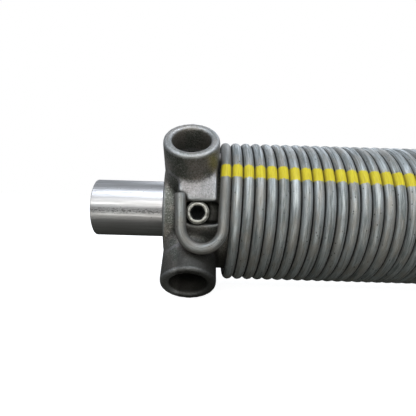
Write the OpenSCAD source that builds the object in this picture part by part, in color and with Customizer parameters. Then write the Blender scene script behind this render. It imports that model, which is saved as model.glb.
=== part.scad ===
// Garage door torsion spring with its winding cone, stationary cone, bearing and torsion tube.
// The shaft runs along X and turns about it. The origin is the middle of the stationary cone's
// mounting face, and the winding cone lies at the -X end. The spring is wound left hand.

/* [Spring] */
// Diameter of the spring wire
wire_d = 4.4; // [4:0.1:4.8]
// Inside diameter of the coils
coil_id = 53.1; // [52:0.1:56]
// Full coils between the two hooks
coils = 90; // [60:1:110]
// Space between neighbouring coils
coil_gap = 0.09; // [0.05:0.01:0.3]
// Radius of a hook's bend, to the middle of the wire
hook_bend_r = 8; // [7.6:0.1:8.4]
// Angle that a hook's bend turns through
hook_turn = 175; // [172:1:180]
// Straight run from the coil to the hook's bend
hook_run = 10.9; // [9:0.1:11.2]
// Angle above the shaft's level at which the wire leaves its coil
hook_leave = 10; // [10:0.5:13]
// How far the cut end of the wire stands above that point
hook_tail = 2.3; // [1.5:0.1:3]

/* [Torsion tube] */
// Outside diameter of the tube
tube_d = 25.4; // [25:0.1:25.8]
// Wall of the tube
tube_wall = 1.65; // [1.2:0.05:3]
// Length of tube that stands out of the winding cone
tube_stub = 32; // [20:1:200]
// Length of tube that stands out of the mounting face
tube_tail = 35; // [20:1:200]

/* [Cones] */
// Gap round the tube in the bore of the winding cone
bore_gap = 0.25; // [0.15:0.05:0.5]
// Gap between a cone's seat and the coils round it
seat_gap = 0.3; // [0.2:0.05:0.6]
// Coils that grip a cone's seat
seat_coils = 2.5; // [2:0.5:4]
// Length of the nose from the first coil to its tip
nose_len = 38; // [25:1:60]
// Diameter of the nose at its tip
nose_tip_d = 44; // [38:1:50]
// Diameter over the land that the cut end of the wire butts against
land_d = 60; // [58:0.5:61]
// Angle that the land covers, up from its lower edge
land_angle = 42; // [36:1:60]
// How far the land reaches beyond the middle of the hook's outer leg
land_reach = 1.8; // [1:0.1:2]
// Gap round the tail of the hook where the land is cut back for it
tail_gap = 0.3; // [0.15:0.05:0.6]
// Bevel at a cone's edges
cone_bevel = 1; // [0.5:0.1:2]

/* [Winding cone] */
// Diameter of the hub behind the hook
hub_d = 45; // [42:0.5:50]
// Length of the hub from the middle of the sockets to its back face
hub_back = 11.4; // [11:0.1:20]
// Outside diameter of a bar socket
socket_d = 21.94; // [20.5:0.1:22.4]
// Diameter of the hole for the winding bar
bar_hole_d = 14.84; // [12.9:0.1:16]
// Depth of that hole
bar_hole_depth = 23.5; // [15:0.5:24.5]
// Distance from the shaft's axis to a socket's rim
socket_reach = 39.6; // [37:0.2:50]
// Rounding of a socket's rim
rim_round = 1; // [0.4:0.1:2]
// Space between the sockets and the first coil
coil_clear = 1; // [0.6:0.1:3]

/* [Set screws] */
// Diameter of a set screw
screw_d = 9; // [8:0.1:9.2]
// Length of a set screw
screw_len = 15.8; // [14.5:0.1:17]
// Width across the flats of its hexagon socket
hex_flats = 4.76; // [4:0.01:5.5]
// Depth of the hexagon socket
hex_depth = 5.5; // [3:0.5:8]
// Distance from the middle of the sockets to the screws' axis
screw_x = 3; // [2.9:0.1:4]

/* [Stationary cone] */
// Width of the mounting flange over its two ears
flange_w = 108; // [104:1:130]
// Thickness of the mounting flange
flange_t = 8; // [5:0.5:11]
// Radius of an ear's round end
ear_r = 16; // [13:0.5:22]
// Distance between the two bolt holes
bolt_spacing = 85.7; // [82:0.1:88]
// Diameter of a bolt hole
bolt_hole_d = 10.3; // [8:0.1:12]
// Distance from the mounting face to the middle of the hook
anchor_back = 24; // [21:0.5:40]

/* [Bearing] */
// Outside diameter of the bearing
bearing_od = 44.4; // [43:0.1:46]
// Width of the bearing
bearing_w = 11; // [8:0.5:12]
// Diameter of a ball
ball_d = 6.35; // [5:0.05:6.5]
// Number of balls
balls = 16; // [8:1:16]
// Distance from the balls' circle to the edges of the two rings
ring_step = 1.9; // [1.5:0.1:2.4]
// Gap between the balls and their races
race_gap = 0.1; // [0.05:0.01:0.2]

/* [Hidden] */
$fn = 64;
wire_fn = 24;

// Gaps of a sliding fit and under the screws, and how far cuts and joins overlap
slip = 0.02;
touch = 0.05;
over = 1;

// Collars that fuse the bends of the wire
collar_l = 0.4;
collar_step = 0.02;

// Coils
wire_r = wire_d / 2;
coil_r = (coil_id + wire_d) / 2;
pitch = wire_d + coil_gap;
half_turn_r = norm([coil_r, pitch / 4]);
half_turn_tilt = atan(pitch / 4 / coil_r);

// Each cone has its own x, from the middle of its hook towards the tip of its nose
socket_r = socket_d / 2;
coil_x = socket_r + coil_clear + wire_r;
leave_x = coil_x - pitch / 4 * (1 - sin(hook_leave));
leg_x = leave_x - 2 * hook_bend_r;

// Cones
tube_r = tube_d / 2;
bore_r = tube_r + bore_gap;
seat_r = coil_id / 2 - seat_gap;
seat_step = 0.6;
land_r = land_d / 2;
land_left = leg_x - land_reach;
land_right = coil_x - pitch / 4 - wire_r - seat_step;
seat_left = land_left - seat_step;
seat_right = coil_x + seat_coils * pitch;
nose_end = coil_x + nose_len;
socket_angles = [45, 135, 225, 315];

// Pocket beside the front screw, a little lower than the screw's own hole. It trims the land's edge.
pocket_h = screw_d - 0.2;
pocket_side = 0.4;
pocket_wall = 8;
pocket_floor = bore_r + pocket_wall;
land_low = asin(pocket_h / 2 / land_r) - 1;

// Places along the shaft
anchor_x = -anchor_back;
spring_right = anchor_x - coil_x;
spring_left = spring_right - (coils + 0.5) * pitch;
winding_x = spring_left - coil_x;
hub_face_x = winding_x - hub_back;

// The flange. Its middle reaches as low as the lower sockets, so the whole part lies level.
rest_h = (socket_reach + socket_r - 2 * rim_round) * sin(45) + rim_round;
ear_y = flange_w / 2 - ear_r;
ear_lean = asin((rest_h - ear_r) / ear_y);
ear_step = 1;

// Bearing
bearing_r = bearing_od / 2;
ball_r = ball_d / 2;
race_r = ball_r + race_gap;
ball_circle_r = (tube_r + slip + bearing_r) / 2;
seat_relief = 2;

// ---- Wire: each piece of the path carries on from the end of the one before ----

// A bend starts at the origin, heads along +Y and curves towards -X
module wire_bend(r, a) {
    translate([-r, 0, 0]) {
        rotate_extrude(angle = a) translate([r, 0]) circle(d = wire_d, $fn = wire_fn);
        rotate([0, 0, a]) translate([r, 0, 0]) children();
    }
}

// A hair-thick collar round the joint at the origin, which fuses the two pieces that meet there
module wire_collar() {
    rotate([90, 0, 0]) cylinder(h = collar_l, d = wire_d + collar_step, center = true, $fn = wire_fn);
}

// A straight run starts at the origin and heads along +Y
module wire_run(l) {
    wire_collar();
    rotate([-90, 0, 0]) cylinder(h = l, d = wire_d, $fn = wire_fn);
    translate([0, l, 0]) children();
}

// The top of a coil, with +Y pointing down the front of the coil and +X pointing outwards
module coil_top() {
    translate([0, 0, coil_r]) rotate([180, half_turn_tilt - 90, 0]) children();
}

module half_turn() {
    coil_top() wire_bend(half_turn_r, 180);
}

// Where the tail of the hook starts, at the far end of its bend and heading up
module hook_tail_start() {
    coil_top() at_bend(half_turn_r, 90 - hook_leave)
        translate([0, hook_run, 0]) rotate([0, -90, 0]) at_bend(hook_bend_r, hook_turn) children();
}

module at_bend(r, a) {
    translate([-r, 0, 0]) rotate([0, 0, a]) translate([r, 0, 0]) children();
}

// The end of the wire leaves its coil in a straight run, turns back in a flat U and is cut off
module hooked_end() {
    coil_top() {
        wire_collar();
        wire_bend(half_turn_r, 90 - hook_leave) wire_run(hook_run) {
            wire_collar();
            rotate([0, -90, 0]) wire_bend(hook_bend_r, hook_turn) wire_run(hook_run + hook_tail);
        }
    }
}

module torsion_spring() {
    color([0.55, 0.56, 0.55]) translate([spring_left, 0, 0]) {
        for (k = [0 : coils]) translate([k * pitch, 0, 0]) rotate([0, 0, 180]) half_turn();
        for (k = [1 : coils]) translate([k * pitch, 0, 0]) half_turn();
        for (k = [1 : coils]) translate([(k - 0.5) * pitch, 0, -coil_r]) wire_collar();
        hooked_end();
        translate([(coils + 0.5) * pitch, 0, 0]) rotate([0, 180, 0]) hooked_end();
    }
}

// ---- Forms along the shaft ----

// Turns a profile of [x, radius] points about the X axis
module turned(points) {
    rotate([90, 0, 90]) rotate_extrude() polygon([for (p = points) [p[1], p[0]]]);
}

module rod(x0, x1, r) {
    translate([x0, 0, 0]) rotate([0, 90, 0]) cylinder(h = x1 - x0, r = r);
}

// A sector of a ring between two angles, measured up from the front of the shaft
module sector(x0, x1, r0, r1, a0, a1) {
    translate([x1, 0, 0]) rotate([0, -90, 0]) rotate([0, 0, 270 + a0])
        rotate_extrude(angle = a1 - a0) translate([r0, 0]) square([r1 - r0, x1 - x0]);
}

// ---- What the two cones have in common, in a cone's own x ----

// The seat that carries the hook and the first coils, and the tapered nose
module seat_and_nose() {
    turned([[seat_left, 0], [seat_left, seat_r - seat_step], [seat_left + seat_step, seat_r],
        [seat_right, seat_r], [nose_end - cone_bevel, nose_tip_d / 2],
        [nose_end, nose_tip_d / 2 - cone_bevel], [nose_end, 0]]);
}

// The raised land, cut back where the tail of the hook lies against it
module land() {
    groove_w = wire_d + 2 * tail_gap;
    groove_l = hook_run + hook_tail + tail_gap;
    difference() {
        sector(land_left, land_right, seat_r - over, land_r, land_low, land_low + land_angle);
        translate([coil_x, 0, 0]) hook_tail_start() rotate([-90, 0, 0]) {
            cylinder(h = groove_l, d = groove_w);
            translate([-groove_w / 2, 0, 0]) cube([groove_w, land_r, groove_l]);
        }
    }
}

// ---- Winding cone ----

module socket() {
    rotate_extrude() {
        square([socket_r, socket_reach - rim_round]);
        square([socket_r - rim_round, socket_reach]);
        translate([socket_r - rim_round, socket_reach - rim_round]) circle(r = rim_round, $fn = 32);
    }
}

module bar_hole() {
    mouth = rim_round / 2;
    translate([0, 0, socket_reach - bar_hole_depth]) cylinder(h = bar_hole_depth + over, d = bar_hole_d);
    translate([0, 0, socket_reach - mouth])
        cylinder(h = mouth + over, r1 = bar_hole_d / 2, r2 = bar_hole_d / 2 + mouth + over);
}

module at_sockets() {
    for (a = socket_angles) rotate([a, 0, 0]) children();
}

// The pocket beside the front screw, open towards the hook
module screw_pocket() {
    left = screw_x - screw_d / 2 - pocket_side;
    right = coil_x - wire_r;
    translate([left, -land_r - over, -pocket_h / 2])
        cube([right - left, land_r + over - pocket_floor, pocket_h]);
}

module winding_cone() {
    color([0.42, 0.41, 0.36]) translate([winding_x, 0, 0]) difference() {
        union() {
            rod(-hub_back, seat_left + over, hub_d / 2);
            seat_and_nose();
            land();
            at_sockets() socket();
        }
        rod(-hub_back - over, nose_end + over, bore_r);
        at_sockets() bar_hole();
        screw_pocket();
        translate([screw_x, 0, 0]) rotate([90, 0, 0])
            cylinder(h = 2 * land_d, r = screw_d / 2 + slip, center = true);
    }
}

// ---- Set screws ----

module set_screw() {
    top = tube_r + touch + screw_len;
    bevel = 0.6;
    cup = screw_d / 4;
    color([0.62, 0.62, 0.58]) difference() {
        rotate_extrude() polygon([[0, top - screw_len + cup / 2], [cup, top - screw_len],
            [screw_d / 2 - bevel, top - screw_len], [screw_d / 2, top - screw_len + bevel],
            [screw_d / 2, top - bevel], [screw_d / 2 - bevel, top], [0, top]]);
        translate([0, 0, top - hex_depth])
            cylinder(h = hex_depth + over, d = hex_flats / cos(30), $fn = 6);
    }
}

module set_screw_front() {
    translate([winding_x + screw_x, 0, 0]) rotate([90, 0, 0]) set_screw();
}

module set_screw_back() {
    translate([winding_x + screw_x, 0, 0]) rotate([-90, 0, 0]) set_screw();
}

// ---- Torsion tube ----

module torsion_tube() {
    color([0.72, 0.73, 0.74]) difference() {
        rod(hub_face_x - tube_stub, tube_tail, tube_r);
        rod(hub_face_x - tube_stub - over, tube_tail + over, tube_r - tube_wall);
    }
}

// ---- Stationary cone ----

// Where a side of an ear meets a circle of the outline, a step inside it
function ear_side(y, r) = [y + (r - ear_step) * sin(ear_lean), (r - ear_step) * cos(ear_lean)];

// A round plate with two ears
module flange() {
    near = ear_side(0, rest_h);
    far = ear_side(ear_y, ear_r);
    translate([-flange_t, 0, 0]) rotate([90, 0, 90]) linear_extrude(flange_t) {
        circle(r = rest_h);
        for (a = [0, 180]) rotate(a) {
            translate([ear_y, 0]) circle(r = ear_r);
            polygon([near, far, [far[0], -far[1]], [near[0], -near[1]]]);
        }
    }
}

module bearing_seat() {
    rod(-bearing_w, over, bearing_r + slip);
    rod(-bearing_w - seat_relief, 0, ball_circle_r + ring_step);
}

module stationary_cone() {
    color([0.42, 0.41, 0.36]) difference() {
        union() {
            flange();
            rod(anchor_x - seat_left - over, -over, seat_r);
            translate([anchor_x, 0, 0]) rotate([0, 180, 0]) {
                seat_and_nose();
                land();
            }
        }
        bearing_seat();
        rod(anchor_x - nose_end - over, 0, bore_r + over);
        for (s = [-1, 1]) translate([0, s * bolt_spacing / 2, 0])
            rod(-flange_t - over, over, bolt_hole_d / 2);
    }
}

// ---- Bearing ----

module race() {
    rotate([0, 90, 0]) rotate_extrude() translate([ball_circle_r, 0]) circle(r = race_r, $fn = 48);
}

module bearing_outer_ring() {
    color([0.7, 0.7, 0.7]) translate([-bearing_w / 2, 0, 0]) difference() {
        rod(-bearing_w / 2, bearing_w / 2, bearing_r);
        rod(-bearing_w, bearing_w, ball_circle_r + ring_step);
        race();
    }
}

module bearing_inner_ring() {
    color([0.7, 0.7, 0.7]) translate([-bearing_w / 2, 0, 0]) difference() {
        rod(-bearing_w / 2, bearing_w / 2, ball_circle_r - ring_step);
        rod(-bearing_w, bearing_w, tube_r + slip);
        race();
    }
}

module bearing_balls() {
    color([0.8, 0.8, 0.82]) for (k = [0 : balls - 1])
        translate([-bearing_w / 2, 0, 0]) rotate([k * 360 / balls, 0, 0])
            translate([0, 0, ball_circle_r]) sphere(r = ball_r, $fn = 32);
}

torsion_spring();
winding_cone();
set_screw_front();
set_screw_back();
torsion_tube();
stationary_cone();
bearing_outer_ring();
bearing_inner_ring();
bearing_balls();
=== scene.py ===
"""Looks for a garage door torsion spring on its tube, with its two cones and its bearing.

The spring is one swept wire that carries its own coordinates, so that its paint stripe and its
streaks turn with it. The castings are copies of the CAD solids with soft cast corners.
Lengths are in millimetres until a mesh is made.
"""

import math

import bmesh
import bpy
import numpy as np
from mathutils import Matrix, Vector


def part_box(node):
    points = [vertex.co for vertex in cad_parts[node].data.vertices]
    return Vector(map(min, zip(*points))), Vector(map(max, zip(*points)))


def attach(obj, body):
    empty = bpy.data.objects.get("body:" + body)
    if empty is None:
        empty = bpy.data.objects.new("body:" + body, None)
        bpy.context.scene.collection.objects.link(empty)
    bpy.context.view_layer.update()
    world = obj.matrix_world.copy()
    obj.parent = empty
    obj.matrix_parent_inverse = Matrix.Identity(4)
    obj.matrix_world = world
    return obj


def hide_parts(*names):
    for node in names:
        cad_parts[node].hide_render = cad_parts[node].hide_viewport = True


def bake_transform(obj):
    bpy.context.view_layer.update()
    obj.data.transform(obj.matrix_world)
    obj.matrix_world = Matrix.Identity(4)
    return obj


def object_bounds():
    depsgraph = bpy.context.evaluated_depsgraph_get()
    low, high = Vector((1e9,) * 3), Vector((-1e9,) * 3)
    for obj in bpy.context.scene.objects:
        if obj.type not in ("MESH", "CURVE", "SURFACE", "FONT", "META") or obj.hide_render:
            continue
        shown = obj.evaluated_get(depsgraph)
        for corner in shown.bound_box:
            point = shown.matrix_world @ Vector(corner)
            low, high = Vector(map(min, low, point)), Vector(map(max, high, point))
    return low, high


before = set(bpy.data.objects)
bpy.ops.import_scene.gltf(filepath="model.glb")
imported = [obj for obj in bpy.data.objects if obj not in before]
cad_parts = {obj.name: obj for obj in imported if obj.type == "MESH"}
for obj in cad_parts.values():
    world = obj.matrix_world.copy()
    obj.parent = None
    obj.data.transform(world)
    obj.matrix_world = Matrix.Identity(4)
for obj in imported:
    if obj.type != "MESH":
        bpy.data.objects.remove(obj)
cad_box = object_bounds()

MM = 0.001

# ---- Driving dimensions, as in the CAD ----
WIRE_D = 4.4
COIL_ID = 53.1
COILS = 90
COIL_GAP = 0.09
HOOK_BEND_R = 8.0
HOOK_TURN = 175.0
HOOK_RUN = 10.9
HOOK_LEAVE = 10.0
HOOK_TAIL = 2.3
SCREW_R = 4.5
SCREW_PITCH = 1.27
HEX_FLATS = 4.76
HEX_DEPTH = 5.5
TUBE_WALL = 1.65
LAND_R = 30.0
# along the shaft, from the middle of a cone
COIL_FROM_MIDDLE = 14.17
SCREW_FROM_MIDDLE = 3.0
LAND_REACH = 13.0
HOOK_MIDDLE = 3.8

WIRE_R = WIRE_D / 2
COIL_R = (COIL_ID + WIRE_D) / 2
PITCH = WIRE_D + COIL_GAP
HALF_TURN_R = math.hypot(COIL_R, PITCH / 4)
HALF_TURN_TILT = math.degrees(math.atan(PITCH / 4 / COIL_R))
TURN_LENGTH = 2 * math.pi * HALF_TURN_R

# ---- Fineness of the meshes ----
COIL_SEGMENTS = 60
WIRE_SIDES = 14
LEAVE_POINTS = 16
BEND_POINTS = 36
RUN_STEPS = 6
SCREW_SIDES = 72
THREAD_RINGS = 10
SOCKET_RINGS = 6
TUBE_SIDES = 128
CORNER_STEPS = 4

# ---- Small shapes that the CAD leaves out ----
WIRE_BEVEL = 0.3
SCREW_BEVEL = 0.8
THREAD_DEPTH = 0.75
# shares of half the thread's pitch
THREAD_CREST, THREAD_FLANK = 0.12, 0.76
# the mouth of the hexagon socket, and what it is wider by at each depth
SOCKET_LIP = 0.25
SOCKET_EDGE = ((0.0, 0.35), (0.1, 0.1))
SOCKET_START, SOCKET_FULL = 0.45, 0.9
DRILL_POINT = 0.9
POINT_R = 0.05
TUBE_CORNER = 0.35
# edges over these angles, in degrees, are drawn sharp
SCREW_SHARP, TUBE_SHARP = 38, 60

# ---- Paint stripe: its edges in degrees above the level, on the front of a coil ----
STRIPE_EDGES = (28.0, 39.0)
# all in turns: drift per coil, softness of the edges, and how far they wander
STRIPE_DRIFT = 0.0011
STRIPE_BLUR = 0.0012
STRIPE_JITTER = 0.006
STRIPE_RAG = 0.012
STRIPE_SPAN = (-0.25, COILS + 0.5)
# the same edges, as shares of a turn from the top of a coil down its back
STRIPE_LOW, STRIPE_HIGH = (1 - (90 - angle) / 360 for angle in STRIPE_EDGES)

# ---- Where the painted shade and the scuffs start and are full ----
# heights where the painted shade on the lower sockets starts and is full
LOW_SHADE_UP = (-12.0, -20.0)
# the hook's pocket, where painted shade lies
POCKET_ACROSS = (9.0, 7.0)
POCKET_UP = (5.0, 0.0)
SCUFF_LINE = -0.8
SCUFF_BAND = (0.4, 1.7)

# ---- Colours ----
ZINC_DARK, ZINC_LIGHT = (0.13, 0.145, 0.142), (0.41, 0.44, 0.44)
ZINC_BROWN, ZINC_BRIGHT = (0.27, 0.25, 0.215), (0.55, 0.56, 0.55)
ZINC_PORE, ZINC_SPECK = (0.10, 0.10, 0.095), (0.05, 0.047, 0.043)
# painted shade, with some dirt, in the grooves between coils
GROOVE_SHADE_AND_DIRT = (0.014, 0.014, 0.013)
HOOK_BROWN = (0.11, 0.10, 0.085)
PAINT_DEEP, PAINT_BRIGHT = (0.45, 0.36, 0.006), (0.62, 0.53, 0.014)
# the paint's colour towards the sides of the wire
PAINT_SIDE_DARK = (0.22, 0.17, 0.02)
CAST_GREEN, CAST_BROWN = (0.135, 0.142, 0.122), (0.27, 0.242, 0.215)
CAST_LAND = (0.33, 0.32, 0.33)
SAND_LIGHT, SAND_DARK = (0.50, 0.49, 0.47), (0.030, 0.030, 0.026)
# painted shade on the lower sockets
CAST_LOW_SHADE = (0.035, 0.035, 0.030)
# painted shade in the hook's pocket
CAST_SHADE = (0.026, 0.025, 0.022)
# bare metal on worn edges, also a painted highlight
CAST_BARE_AND_HIGHLIGHT = (0.44, 0.45, 0.45)
# painted shade in the castings' inside corners
CORNER_SHADE = (0.022, 0.022, 0.018)
TUBE_DARK, TUBE_LIGHT = (0.38, 0.38, 0.375), (0.60, 0.60, 0.60)
TUBE_CLOUD = (0.40, 0.38, 0.38)
TUBE_SCUFF, TUBE_SPECK = (0.075, 0.072, 0.065), (0.12, 0.11, 0.10)
SCREW_DARK, SCREW_LIGHT = (0.31, 0.30, 0.26), (0.62, 0.61, 0.56)
# painted shade deep in the hexagon socket
SOCKET_SHADE = (0.004, 0.004, 0.004)
RING_DARK, RING_LIGHT = (0.30, 0.30, 0.29), (0.48, 0.48, 0.47)
BALL_DARK, BALL_LIGHT = (0.55, 0.55, 0.55), (0.66, 0.66, 0.66)
WHITE = (1, 1, 1, 1)

# ---- Places, from the frame ----
front_low, front_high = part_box("set_screw_front")
back_low, back_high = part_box("set_screw_back")
tube_low, tube_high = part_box("torsion_tube")

socket_x = (front_low.x + front_high.x) / 2 / MM - SCREW_FROM_MIDDLE
spring_left = socket_x + COIL_FROM_MIDDLE
spring_right = spring_left + (COILS + 0.5) * PITCH
anchor_x = spring_right + COIL_FROM_MIDDLE
floor_z = cad_box[0][2]


# ---- Mesh helpers ----


def link(name, data):
    piece = bpy.data.objects.new(name, data)
    bpy.context.scene.collection.objects.link(piece)
    return piece


def outward(mesh):
    """Turns every face of a closed mesh to the outside."""
    work = bmesh.new()
    work.from_mesh(mesh)
    bmesh.ops.recalc_face_normals(work, faces=work.faces)
    work.to_mesh(mesh)
    work.free()


def around(sides):
    """Angles of even steps round a circle."""
    return np.linspace(0, 2 * math.pi, sides, endpoint=False)


def grid_mesh(name, rows, loop=False):
    """A closed mesh through rings of points, with a flat cap at both ends or joined in a loop."""
    rows = np.asarray(rows, float)
    count, ring = rows.shape[:2]
    index = np.arange(count * ring).reshape(count, ring)
    a, b = (index, np.roll(index, -1, 0)) if loop else (index[:-1], index[1:])
    quads = np.stack([a, np.roll(a, -1, 1), np.roll(b, -1, 1), b], -1).reshape(-1, 4)
    faces = quads.tolist()
    if not loop:
        faces += [index[0, ::-1].tolist(), index[-1].tolist()]
    mesh = bpy.data.meshes.new(name)
    mesh.from_pydata((rows.reshape(-1, 3) * MM).tolist(), [], faces)
    outward(mesh)
    mesh.shade_smooth()
    return mesh


def revolved(name, profile, sides):
    """A ring about X through a closed profile of (x, radius)."""
    angle = around(sides)
    x, radius = np.asarray(profile, float).T[:, :, None]
    rows = np.broadcast_arrays(x, radius * np.cos(angle), radius * np.sin(angle))
    return grid_mesh(name, np.stack(rows, -1), loop=True)


def rounded(corners, reach):
    """Cuts each corner of a closed profile back to a small curve."""
    corners = [np.array(corner, float) for corner in corners]
    out = []
    for i, corner in enumerate(corners):
        before, after = (
            corner + (other - corner) / np.linalg.norm(other - corner) * reach
            for other in (corners[i - 1], corners[(i + 1) % len(corners)])
        )
        for t in np.linspace(0, 1, CORNER_STEPS + 1):
            out.append((1 - t) ** 2 * before + 2 * t * (1 - t) * corner + t**2 * after)
    return out


def voxel_copy(mesh, size):
    """The outside of a mesh, in even quads."""
    piece = link("voxel_work", mesh)
    remesh = piece.modifiers.new("voxels", "REMESH")
    remesh.mode = "VOXEL"
    remesh.voxel_size = size * MM
    bpy.context.view_layer.update()
    graph = bpy.context.evaluated_depsgraph_get()
    result = bpy.data.meshes.new_from_object(piece.evaluated_get(graph))
    bpy.data.objects.remove(piece)
    return result


def coordinates(mesh):
    values = np.empty(len(mesh.vertices) * 3)
    mesh.vertices.foreach_get("co", values)
    return values.reshape(-1, 3)


def set_coordinates(mesh, values):
    mesh.vertices.foreach_set("co", values.reshape(-1))
    mesh.update()


def vertex_normals(mesh):
    values = np.empty(len(mesh.vertices) * 3, np.float32)
    mesh.vertex_normals.foreach_get("vector", values)
    return values.reshape(-1, 3).astype(float)


def edge_pairs(mesh):
    values = np.empty(len(mesh.edges) * 2, np.int64)
    mesh.edges.foreach_get("vertices", values)
    return values.reshape(-1, 2)


def neighbour_mean(values, pairs):
    total = np.zeros_like(values)
    np.add.at(total, pairs[:, 0], values[pairs[:, 1]])
    np.add.at(total, pairs[:, 1], values[pairs[:, 0]])
    number = np.bincount(pairs.reshape(-1), minlength=len(values)).astype(float)
    return total / np.maximum(number, 1).reshape((-1,) + (1,) * (values.ndim - 1))


def smoothed(values, pairs, passes, strength=0.5):
    for _ in range(passes):
        values = values + strength * (neighbour_mean(values, pairs) - values)
    return values


def store(mesh, name, values):
    """Keeps one number or one vector for each vertex."""
    kind, key = ("FLOAT", "value") if values.ndim == 1 else ("FLOAT_VECTOR", "vector")
    attribute = mesh.attributes.new(name, kind, "POINT")
    attribute.data.foreach_set(key, values.astype(np.float32).reshape(-1))


def cast_copy(node, name, voxel, fillet, middle_x):
    """A copy of a CAD casting with filleted inside corners and softened edges.

    The surface goes out by the fillet's radius and back, which fills each inside corner with an
    arc. The attribute "edge" is positive on outside edges and negative in corners, and "land" is
    1 on the raised land beside the hook.
    """
    soften, sharpen, sharpening = 5, 3, -0.25
    wide_passes, bulge_passes = 12, 2
    land_below, land_above = 1.0, 0.6
    mesh = voxel_copy(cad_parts[node].data.copy(), voxel)
    for way in (fillet, -fillet):
        set_coordinates(mesh, coordinates(mesh) + vertex_normals(mesh) * way * MM)
        mesh = voxel_copy(mesh, voxel)
    pairs = edge_pairs(mesh)
    place = smoothed(coordinates(mesh), pairs, soften)
    place = smoothed(place, pairs, sharpen, sharpening)
    set_coordinates(mesh, place)
    wide = smoothed(place, pairs, wide_passes)
    bulge = ((place - wide) * vertex_normals(mesh)).sum(1) / MM
    store(mesh, "edge", smoothed(bulge, pairs, bulge_passes))
    radius = np.hypot(place[:, 1], place[:, 2]) / MM
    near = np.abs(place[:, 0] / MM - middle_x) < LAND_REACH
    land = (radius > LAND_R - land_below) & (radius < LAND_R + land_above) & near
    store(mesh, "land", land.astype(float))
    mesh.shade_smooth()
    mesh.name = name
    return link(name, mesh)


# ---- The wire's path ----


def turn(axis, angle):
    return Matrix.Rotation(math.radians(angle), 4, axis)


def shift(x, y, z):
    return Matrix.Translation((x, y, z))


def arc(start, radius, angle, count):
    """Points along a bend that heads along +Y and curves towards -X, and the frame at its end."""
    steps = np.radians(np.linspace(0, angle, count))
    points = [
        start @ Vector((radius * (math.cos(t) - 1), radius * math.sin(t), 0)) for t in steps
    ]
    end = start @ shift(-radius, 0, 0) @ turn("Z", angle) @ shift(radius, 0, 0)
    return np.array([p[:] for p in points]), end


def straight(start, length):
    """Points along +Y, without the first."""
    steps = np.linspace(0, length, RUN_STEPS + 1)[1:]
    return np.array([(start @ Vector((0, y, 0)))[:] for y in steps])


def coil_top():
    """The frame at the top of the first coil."""
    return shift(0, 0, COIL_R) @ turn("Y", HALF_TURN_TILT - 90) @ turn("X", 180)


def hook_points():
    """From the top of the first coil to the cut end of the wire."""
    leave, end = arc(coil_top(), HALF_TURN_R, 90 - HOOK_LEAVE, LEAVE_POINTS)
    run = straight(end, HOOK_RUN)
    end = end @ shift(0, HOOK_RUN, 0) @ turn("Y", -90)
    bend, end = arc(end, HOOK_BEND_R, HOOK_TURN, BEND_POINTS)
    return np.concatenate([leave, run[:-1], bend, straight(end, HOOK_RUN + HOOK_TAIL)])


def coil_points():
    """From the top of the first coil to the bottom of the last, half a turn at a time."""
    half = COIL_SEGMENTS // 2 + 1
    back, _ = arc(turn("Z", 180) @ coil_top(), HALF_TURN_R, 180, half)
    front, _ = arc(coil_top(), HALF_TURN_R, 180, half)
    step = np.array([PITCH, 0, 0])
    parts = []
    for k in range(COILS):
        parts += [back[:-1] + k * step, front[:0:-1] + (k + 1) * step]
    return np.concatenate([*parts, back + COILS * step])


def wire_path():
    """The centre line, the turns done at each point, and the first and last point on the coils."""
    left = hook_points()
    coils = coil_points()
    flip = np.array([-1, 1, -1])
    right = left * flip + np.array([spring_right - spring_left, 0, 0])
    points = np.concatenate([left[:0:-1], coils, right[1:]])
    first = len(left) - 1
    length = np.concatenate([[0], np.cumsum(np.linalg.norm(np.diff(points, axis=0), axis=1))])
    turns = (length - length[first]) / TURN_LENGTH
    return points + np.array([spring_left, 0, 0]), turns, first, first + len(coils) - 1


def wire_frames(points, first, last):
    """A normal that points away from the shaft on the coils, and is carried on along the hooks."""
    tangent = np.gradient(points, axis=0)
    tangent /= np.linalg.norm(tangent, axis=1)[:, None]
    out = points * np.array([0, 1, 1])
    out -= (out * tangent).sum(1)[:, None] * tangent
    out /= np.linalg.norm(out, axis=1)[:, None]
    for places, step in ((range(last + 1, len(points)), 1), (range(first - 1, -1, -1), -1)):
        for i in places:
            out[i] = out[i - step] - (out[i - step] @ tangent[i]) * tangent[i]
            out[i] /= np.linalg.norm(out[i])
    return tangent, out, np.cross(tangent, out)


def spring_mesh(name):
    """The wire. Its attribute "wire" holds the turns done and the direction out of the wire."""
    points, turns, first, last = wire_path()
    tangent, out, side = wire_frames(points, first, last)
    cos, sin = np.cos(around(WIRE_SIDES)), np.sin(around(WIRE_SIDES))
    rounds = cos[None, :, None] * out[:, None] + sin[None, :, None] * side[:, None]
    rows = points[:, None] + WIRE_R * rounds
    # the cut ends have a small bevel
    begin = points[0] + (WIRE_R - WIRE_BEVEL) * rounds[0]
    finish = points[-1] + (WIRE_R - WIRE_BEVEL) * rounds[-1]
    rows[0] += tangent[0] * WIRE_BEVEL
    rows[-1] -= tangent[-1] * WIRE_BEVEL
    rows = np.concatenate([begin[None], rows, finish[None]])
    turns = np.concatenate([turns[:1], turns, turns[-1:]])
    mesh = grid_mesh(name, rows)
    wire = np.stack(np.broadcast_arrays(turns[:, None], cos, sin), -1)
    store(mesh, "wire", wire.reshape(-1, 3))
    return mesh


# ---- Set screws ----


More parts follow.
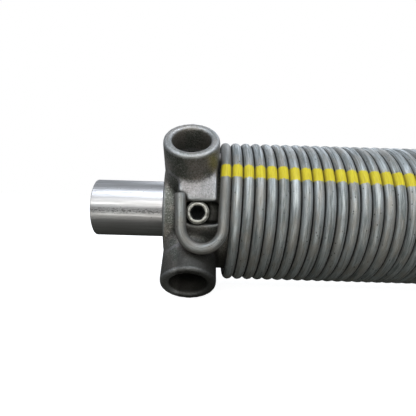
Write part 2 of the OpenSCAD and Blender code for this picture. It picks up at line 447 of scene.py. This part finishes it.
def screw_mesh(name, low, high, direction):
    """A cup point set screw with a rolled thread and a hexagon socket, along Y.

    Its attribute "inside" is 1 in the socket.
    """
    angle = around(SCREW_SIDES)
    length = (high.y - low.y) / MM
    rows = []

    def ring(y, radius):
        rows.append(
            np.stack(np.broadcast_arrays(radius * np.cos(angle), y, radius * np.sin(angle)), -1)
        )

    cup = SCREW_R / 2
    ring(cup / 2, POINT_R)
    ring(0.0, cup)
    for y in np.arange(0.0, length + 1e-6, SCREW_PITCH / THREAD_RINGS):
        phase = (y / SCREW_PITCH + angle / (2 * math.pi)) % 1
        wave = np.abs(phase - 0.5) * 2
        cut = np.clip((wave - THREAD_CREST) / THREAD_FLANK, 0, 1)
        from_end = min(y, length - y)
        ring(y, np.minimum(SCREW_R - THREAD_DEPTH * cut, SCREW_R - SCREW_BEVEL + from_end))
    hexagon = HEX_FLATS / 2 / np.cos((angle % (math.pi / 3)) - math.pi / 6)
    mouth = HEX_FLATS / 2 / math.cos(math.pi / 6) + SOCKET_LIP
    for depth, wider in SOCKET_EDGE:
        ring(length - depth, mouth + wider)
    for depth in (SOCKET_START, *np.linspace(SOCKET_FULL, HEX_DEPTH, SOCKET_RINGS)):
        ring(length - depth, hexagon)
    ring(length - HEX_DEPTH - DRILL_POINT, POINT_R)
    rows = np.array(rows)
    rows[..., 1] *= direction
    head = high.y if direction < 0 else low.y
    rows += np.array([(low.x + high.x) / 2, head, (low.z + high.z) / 2]) / MM
    mesh = grid_mesh(name, rows)
    inside = np.zeros((len(rows), SCREW_SIDES))
    inside[-(SOCKET_RINGS + 2) :] = 1
    store(mesh, "inside", inside.reshape(-1))
    mesh.set_sharp_from_angle(angle=math.radians(SCREW_SHARP))
    return mesh


# ---- Materials ----


class Nodes:
    """Short names for building a node tree."""

    def __init__(self, name):
        self.material = bpy.data.materials.new(name)
        self.material.use_nodes = True
        self.tree = self.material.node_tree
        self.shader = self.tree.nodes["Principled BSDF"]

    def new(self, kind, **settings):
        node = self.tree.nodes.new(kind)
        for key, value in settings.items():
            setattr(node, key, value)
        return node

    def feed(self, socket, value):
        if isinstance(value, bpy.types.NodeSocket):
            self.tree.links.new(value, socket)
        elif socket.type == "RGBA" and len(value) == 3:
            socket.default_value = (*value, 1)
        else:
            socket.default_value = value

    def feed_all(self, node, values):
        for socket, value in zip(node.inputs, values):
            self.feed(socket, value)
        return node.outputs[0]

    def math(self, operation, a, b=0.0):
        return self.feed_all(self.new("ShaderNodeMath", operation=operation), (a, b))

    def plus(self, a, b):
        return self.math("ADD", a, b)

    def minus(self, a, b):
        return self.math("SUBTRACT", a, b)

    def times(self, a, b):
        return self.math("MULTIPLY", a, b)

    def scaled(self, vector, factors):
        node = self.new("ShaderNodeVectorMath", operation="MULTIPLY")
        return self.feed_all(node, (vector, factors))

    def in_mm(self):
        """The place on the piece, in millimetres."""
        place = self.new("ShaderNodeTexCoord").outputs["Object"]
        return self.scaled(place, (1 / MM, 1 / MM, 1 / MM))

    def noise(self, vector, scale, detail=3.0, rough=0.55):
        node = self.new("ShaderNodeTexNoise")
        self.feed(node.inputs["Vector"], vector)
        self.feed(node.inputs["Scale"], scale)
        self.feed(node.inputs["Detail"], detail)
        self.feed(node.inputs["Roughness"], rough)
        return node.outputs["Fac"]

    def streaks(self, vector, factors, detail=3.0, rough=0.6):
        """Noise with its own scale along each axis."""
        return self.noise(self.scaled(vector, factors), 1.0, detail, rough)

    def spots(self, vector, factors, size, soft):
        """1 in small round spots, 0 between them."""
        node = self.new("ShaderNodeTexVoronoi")
        self.feed(node.inputs["Vector"], self.scaled(vector, factors))
        self.feed(node.inputs["Scale"], 1.0)
        return self.ramp(node.outputs["Distance"], size, size - soft)

    def ramp(self, value, low, high, to_low=0.0, to_high=1.0):
        """From to_low where value is low to to_high where it is high, smoothly."""
        node = self.new("ShaderNodeMapRange", interpolation_type="SMOOTHSTEP")
        return self.feed_all(node, (value, low, high, to_low, to_high))

    def mix(self, factor, a, b):
        """Colour a where factor is 0, and b where it is 1."""
        node = self.new("ShaderNodeMix", data_type="RGBA")
        self.feed(node.inputs["Factor"], factor)
        self.feed(node.inputs[6], a)
        self.feed(node.inputs[7], b)
        return node.outputs[2]

    def attribute(self, name, output="Fac"):
        return self.new("ShaderNodeAttribute", attribute_name=name).outputs[output]

    def split(self, vector):
        node = self.new("ShaderNodeSeparateXYZ")
        self.feed(node.inputs[0], vector)
        return node.outputs

    def join(self, x, y, z):
        return self.feed_all(self.new("ShaderNodeCombineXYZ"), (x, y, z))

    def bump(self, height, distance):
        """The normal of a surface that stands out by distance, in millimetres, at height 1."""
        node = self.new("ShaderNodeBump")
        self.feed(node.inputs["Height"], height)
        self.feed(node.inputs["Distance"], distance * MM)
        self.feed(node.inputs["Strength"], 1.0)
        return node.outputs[0]

    def finish(self, color, metallic, roughness, normal=None, specular=0.5):
        self.feed(self.shader.inputs["Base Color"], color)
        self.feed(self.shader.inputs["Metallic"], metallic)
        self.feed(self.shader.inputs["Roughness"], roughness)
        self.feed(self.shader.inputs["Specular IOR Level"], specular)
        if normal is not None:
            self.feed(self.shader.inputs["Normal"], normal)
        return self.material


def stripe_mask(n, wire, turns):
    """1 on the paint stripe, which wanders a little from coil to coil and has a ragged edge."""
    part = n.math("FRACT", n.times(turns, 1 + STRIPE_DRIFT))
    jitter = n.noise(n.join(n.math("FLOOR", turns), 0.0, 0.0), 3.7, 1.0)
    jitter = n.times(n.minus(jitter, 0.5), STRIPE_JITTER)
    ragged = n.times(n.minus(n.noise(wire, 1.6, 3.0, 0.7), 0.5), STRIPE_RAG)
    place = n.plus(part, n.plus(jitter, ragged))
    lower = n.ramp(place, STRIPE_LOW - STRIPE_BLUR, STRIPE_LOW + STRIPE_BLUR)
    upper = n.ramp(place, STRIPE_HIGH + STRIPE_BLUR, STRIPE_HIGH - STRIPE_BLUR)
    begun = n.math("GREATER_THAN", turns, STRIPE_SPAN[0])
    not_over = n.math("LESS_THAN", turns, STRIPE_SPAN[1])
    return n.times(n.times(lower, upper), n.times(begun, not_over))


def spring_material():
    n = Nodes("spring_wire_galvanised")
    turns, outward_part, sideways = n.split(n.attribute("wire", "Vector"))
    wire = n.join(
        n.times(turns, TURN_LENGTH), n.times(outward_part, WIRE_R), n.times(sideways, WIRE_R)
    )
    streaks = n.streaks(wire, (0.05, 1.1, 1.1), 5.0, 0.65)
    fine = n.streaks(wire, (0.25, 5.0, 5.0))
    cloud = n.streaks(wire, (0.12, 0.3, 0.3), 4.0)
    grain = n.streaks(wire, (3.0, 3.0, 3.0), 3.0, 0.7)
    color = n.mix(n.ramp(streaks, 0.36, 0.64), ZINC_DARK, ZINC_LIGHT)
    color = n.mix(n.ramp(cloud, 0.4, 0.66, 0.0, 0.7), color, ZINC_BROWN)
    color = n.mix(n.ramp(fine, 0.52, 0.72, 0.0, 0.6), color, ZINC_BRIGHT)
    color = n.mix(n.ramp(grain, 0.5, 0.25, 0.0, 0.5), color, ZINC_PORE)
    # painted shade, with some dirt, darkens the wire where neighbouring coils meet
    groove_shade_and_dirt = n.ramp(n.math("ABSOLUTE", sideways), 0.78, 0.94)
    groove_shade_and_dirt = n.times(groove_shade_and_dirt, n.ramp(cloud, 0.2, 0.6, 0.82, 1.0))
    color = n.mix(groove_shade_and_dirt, color, GROOVE_SHADE_AND_DIRT)
    specks = n.times(n.spots(wire, (0.32, 0.5, 0.5), 0.14, 0.06), 0.85)
    color = n.mix(specks, color, ZINC_SPECK)
    # the hook at the winding cone is dull and a little brown
    hook = n.ramp(turns, 0.02, -0.08)
    color = n.mix(n.times(hook, 0.55), color, HOOK_BROWN)
    # the paint covers the outer side of the wire, and is worn in places
    covered = n.ramp(n.plus(outward_part, n.times(grain, 0.5)), 0.15, 0.55)
    worn = n.ramp(n.streaks(wire, (0.5, 1.3, 1.3), 4.0, 0.75), 0.66, 0.74, 1.0, 0.35)
    paint = n.times(n.times(stripe_mask(n, wire, turns), covered), worn)
    yellow = n.mix(n.ramp(fine, 0.3, 0.7), PAINT_DEEP, PAINT_BRIGHT)
    # the paint is darker towards the sides of the wire
    yellow = n.mix(n.ramp(outward_part, 0.35, 0.8, 0.7, 0.0), yellow, PAINT_SIDE_DARK)
    color = n.mix(paint, color, yellow)
    not_metal = n.math("MAXIMUM", paint, groove_shade_and_dirt)
    metallic = n.minus(0.6, n.times(not_metal, 0.58))
    rough = n.plus(n.ramp(streaks, 0.36, 0.64, 0.58, 0.36), n.times(not_metal, 0.22))
    height = n.plus(n.times(streaks, 0.6), n.times(grain, 0.25))
    height = n.plus(height, n.times(paint, 0.12))
    return n.finish(color, metallic, rough, n.bump(height, 0.2))


def cast_material():
    n = Nodes("cast_cone_metal")
    place = n.in_mm()
    along, _, up = n.split(place)
    sand = n.noise(place, 1.6, 5.0, 0.75)
    fine = n.noise(place, 4.5, 2.0, 0.6)
    cloud = n.noise(place, 0.11, 4.0, 0.6)
    color = n.mix(n.ramp(cloud, 0.36, 0.64), CAST_GREEN, CAST_BROWN)
    color = n.mix(n.times(n.attribute("land"), 0.6), color, CAST_LAND)
    color = n.mix(n.ramp(sand, 0.52, 0.66, 0.0, 0.6), color, SAND_LIGHT)
    color = n.mix(n.ramp(sand, 0.48, 0.34, 0.0, 0.6), color, SAND_DARK)
    # painted shade darkens the lower sockets, more towards the bottom
    color = n.mix(n.ramp(up, *LOW_SHADE_UP, 0.0, 0.72), color, CAST_LOW_SHADE)
    # painted shade also darkens the pocket inside the hook
    across = n.math("ABSOLUTE", n.minus(along, socket_x + HOOK_MIDDLE))
    in_hook = n.times(n.ramp(across, *POCKET_ACROSS), n.ramp(up, *POCKET_UP))
    color = n.mix(n.times(in_hook, 0.72), color, CAST_SHADE)
    # edges are worn bare and lighter, which is also a painted highlight, except in the shaded
    # pocket; corners are darkened with painted shade
    broken = n.plus(n.attribute("edge"), n.times(n.minus(sand, 0.5), 0.16))
    wear_and_highlight = n.ramp(broken, 0.08, 0.2)
    bare_and_highlight = n.times(wear_and_highlight, n.minus(0.62, n.times(in_hook, 0.45)))
    color = n.mix(bare_and_highlight, color, CAST_BARE_AND_HIGHLIGHT)
    # painted shade in the inside corners
    color = n.mix(n.ramp(broken, -0.03, -0.16, 0.0, 0.75), color, CORNER_SHADE)
    metallic = n.ramp(wear_and_highlight, 0.0, 1.0, 0.72, 0.85)
    rough = n.minus(n.ramp(sand, 0.3, 0.7, 0.52, 0.36), n.times(wear_and_highlight, 0.08))
    height = n.plus(n.times(sand, 0.7), n.times(fine, 0.3))
    return n.finish(color, metallic, rough, n.bump(height, 0.2))


def tube_material():
    n = Nodes("tube_galvanised")
    place = n.in_mm()
    drawn = n.streaks(place, (0.03, 1.2, 1.2), 5.0, 0.65)
    fine = n.streaks(place, (0.25, 4.0, 4.0))
    cloud = n.streaks(place, (0.05, 0.12, 0.12))
    color = n.mix(n.ramp(drawn, 0.35, 0.65), TUBE_DARK, TUBE_LIGHT)
    color = n.mix(n.ramp(cloud, 0.35, 0.7, 0.0, 0.6), color, TUBE_CLOUD)
    # scuffs gather along one line of the tube
    from_line = n.math("ABSOLUTE", n.minus(n.split(place)[2], SCUFF_LINE))
    band = n.ramp(from_line, *SCUFF_BAND, 1.0, 0.0)
    scuffs = n.ramp(n.streaks(place, (0.7, 2.2, 2.2), 5.0, 0.8), 0.47, 0.58)
    scuffs = n.times(scuffs, band)
    color = n.mix(n.times(scuffs, 0.8), color, TUBE_SCUFF)
    specks = n.times(n.spots(place, (0.3, 0.45, 0.45), 0.1, 0.04), 0.7)
    color = n.mix(specks, color, TUBE_SPECK)
    rough = n.plus(n.ramp(drawn, 0.3, 0.7, 0.38, 0.28), n.times(scuffs, 0.3))
    height = n.plus(n.times(drawn, 0.7), n.times(fine, 0.3))
    return n.finish(color, 0.86, rough, n.bump(height, 0.05))


def screw_material():
    n = Nodes("screw_steel")
    place = n.in_mm()
    cloud = n.noise(place, 0.8, 4.0, 0.7)
    fine = n.noise(place, 4.0, 3.0, 0.6)
    inside = n.ramp(n.attribute("inside"), 0.0, 0.6)
    color = n.mix(n.ramp(cloud, 0.4, 0.65), SCREW_DARK, SCREW_LIGHT)
    # the socket is painted near-black: painted shade of the deep hole
    color = n.mix(inside, color, SOCKET_SHADE)
    metallic = n.minus(0.85, n.times(inside, 0.85))
    rough = n.plus(n.ramp(fine, 0.3, 0.7, 0.36, 0.5), n.times(inside, 0.4))
    return n.finish(color, metallic, rough, n.bump(fine, 0.05), 0.3)


def bearing_material(name, dark, light, rough_low, rough_high):
    n = Nodes(name)
    place = n.in_mm()
    cloud = n.noise(place, 0.35, 4.0, 0.6)
    turned = n.streaks(place, (4.0, 0.3, 0.3))
    color = n.mix(n.ramp(cloud, 0.35, 0.7), dark, light)
    rough = n.ramp(turned, 0.3, 0.7, rough_low, rough_high)
    return n.finish(color, 0.95, rough, n.bump(turned, 0.02))


def dress(piece, material):
    piece.data.materials.clear()
    piece.data.materials.append(material)


# ---- Pieces ----

spring = link("torsion_spring_wire", spring_mesh("torsion_spring_wire"))
dress(spring, spring_material())
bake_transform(spring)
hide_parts("torsion_spring")

cast_metal = cast_material()
winding = cast_copy("winding_cone", "winding_cone_casting", 0.55, 1.2, socket_x)
dress(winding, cast_metal)
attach(winding, "shaft")
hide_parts("winding_cone")

anchor = cast_copy("stationary_cone", "stationary_cone_casting", 0.75, 1.5, anchor_x)
dress(anchor, cast_metal)
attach(anchor, "anchor")
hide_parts("stationary_cone")

screw_metal = screw_material()
for node, low, high, direction in (
    ("set_screw_front", front_low, front_high, -1),
    ("set_screw_back", back_low, back_high, 1),
):
    screw = link(f"{node}_threaded", screw_mesh(node, low, high, direction))
    dress(screw, screw_metal)
    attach(screw, "shaft")
    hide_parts(node)

tube_r = (tube_high.z - tube_low.z) / 2 / MM
tube_left, tube_right = tube_low.x / MM, tube_high.x / MM
tube_profile = [
    (tube_left, tube_r),
    (tube_right, tube_r),
    (tube_right, tube_r - TUBE_WALL),
    (tube_left, tube_r - TUBE_WALL),
]
tube_mesh = revolved("torsion_tube", rounded(tube_profile, TUBE_CORNER), TUBE_SIDES)
tube_mesh.set_sharp_from_angle(angle=math.radians(TUBE_SHARP))
tube = link("torsion_tube_galvanised", tube_mesh)
dress(tube, tube_material())
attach(tube, "shaft")
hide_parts("torsion_tube")

ring_metal = bearing_material("bearing_ring_steel", RING_DARK, RING_LIGHT, 0.3, 0.42)
ball_metal = bearing_material("bearing_ball_steel", BALL_DARK, BALL_LIGHT, 0.12, 0.2)
for node, metal in (
    ("bearing_outer_ring", ring_metal),
    ("bearing_inner_ring", ring_metal),
    ("bearing_balls", ball_metal),
):
    dress(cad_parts[node], metal)


# ---- Floor and sky ----

FLOOR_REACH = 6.0
FLOOR_GAP = 0.0002
r = FLOOR_REACH
floor_mesh = bpy.data.meshes.new("floor")
floor_mesh.from_pydata([(-r, -r, 0), (r, -r, 0), (r, r, 0), (-r, r, 0)], [], [(0, 1, 2, 3)])
floor = link("floor", floor_mesh)
floor.location = (0, 0, floor_z - FLOOR_GAP)
pale = Nodes("floor_pale")
pale.feed(pale.shader.inputs["Emission Color"], WHITE)
pale.feed(pale.shader.inputs["Emission Strength"], 0.9)
dress(floor, pale.finish((0.5, 0.5, 0.5), 0.0, 0.95))
floor.visible_diffuse = False
floor.visible_glossy = False
floor.visible_shadow = False

# white behind the object, and a soft sky, pale above and dark below, for its light
world = bpy.data.worlds.new("studio")
bpy.context.scene.world = world
world.use_nodes = True
sky = world.node_tree
seen = sky.nodes["Background"]
seen.inputs["Color"].default_value = WHITE
seen.inputs["Strength"].default_value = 1.0
lighting = sky.nodes.new("ShaderNodeBackground")
lighting.inputs["Strength"].default_value = 0.46
shade = sky.nodes.new("ShaderNodeValToRGB")
shade.color_ramp.interpolation = "EASE"
for element, position, tone in zip(
    shade.color_ramp.elements,
    (0.3, 0.75),
    ((0.05, 0.055, 0.045, 1), (0.75, 0.80, 0.88, 1)),
):
    element.position = position
    element.color = tone
direction = sky.nodes.new("ShaderNodeTexCoord")
parts = sky.nodes.new("ShaderNodeSeparateXYZ")
remap = sky.nodes.new("ShaderNodeMapRange")
remap.inputs["From Min"].default_value = -1.0
path = sky.nodes.new("ShaderNodeLightPath")
either = sky.nodes.new("ShaderNodeMixShader")
for outlet, socket in (
    (direction.outputs["Generated"], parts.inputs[0]),
    (parts.outputs["Z"], remap.inputs["Value"]),
    (remap.outputs[0], shade.inputs[0]),
    (shade.outputs[0], lighting.inputs["Color"]),
    (path.outputs["Is Camera Ray"], either.inputs[0]),
    (lighting.outputs[0], either.inputs[1]),
    (seen.outputs[0], either.inputs[2]),
    (either.outputs[0], sky.nodes["World Output"].inputs["Surface"]),
):
    sky.links.new(outlet, socket)


# ---- Lights ----

focus = Vector((socket_x * MM, 0, 0))
aim = focus + Vector((0.05, 0, 0))


def area_light(name, place, size, energy, tint):
    """A rectangle of light that faces the aim. place, in metres, is counted from the focus."""
    light = bpy.data.lights.new(name, "AREA")
    light.shape = "RECTANGLE"
    light.size, light.size_y = size
    light.energy = energy
    light.color = tint
    lamp = link(name, light)
    lamp.location = focus + Vector(place)
    lamp.rotation_euler = (aim - lamp.location).to_track_quat("-Z", "Y").to_euler()


area_light("strip", (0.05, -0.88, 0.74), (1.6, 0.22), 2.0, (1.0, 1.0, 1.0))
area_light("key", (0.1, -0.5, 1.1), (1.6, 0.5), 11.0, (0.9, 0.97, 1.08))
area_light("front", (0.05, -1.05, 0.42), (1.6, 0.25), 6.2, (1.0, 1.0, 0.97))
area_light("low", (0.05, -1.0, -0.5), (1.6, 0.3), 3.2, (1.0, 1.0, 0.96))
area_light("back", (0.3, 0.9, 0.9), (1.2, 0.6), 4.0, (0.9, 0.97, 1.08))


# ---- Camera ----

# place from the focus and lens in millimetres, turns in degrees, clip in metres
CAMERA_PLACE = (5.82, -156.02, 5.74)
CAMERA_TURNS = (("Z", -0.497), ("X", -1.727), ("Y", -1.693))
CAMERA_LENS = 29.0423
CAMERA_SENSOR = 36.0
CAMERA_CLIP = (0.01, 50)

turned_by = Matrix.Identity(3)
for axis, angle in CAMERA_TURNS:
    turned_by = turned_by @ Matrix.Rotation(math.radians(angle), 3, axis)
right, forward, up = turned_by.col
basis = Matrix((right, up, -forward)).transposed().to_4x4()
camera_data = bpy.data.cameras.new("camera")
camera_data.sensor_width = CAMERA_SENSOR
camera_data.lens = CAMERA_LENS
camera_data.clip_start, camera_data.clip_end = CAMERA_CLIP
camera = link("camera", camera_data)
camera.matrix_world = Matrix.Translation(focus + Vector(CAMERA_PLACE) * MM) @ basis
bpy.context.scene.camera = camera
bpy.context.scene.view_settings.view_transform = "Standard"
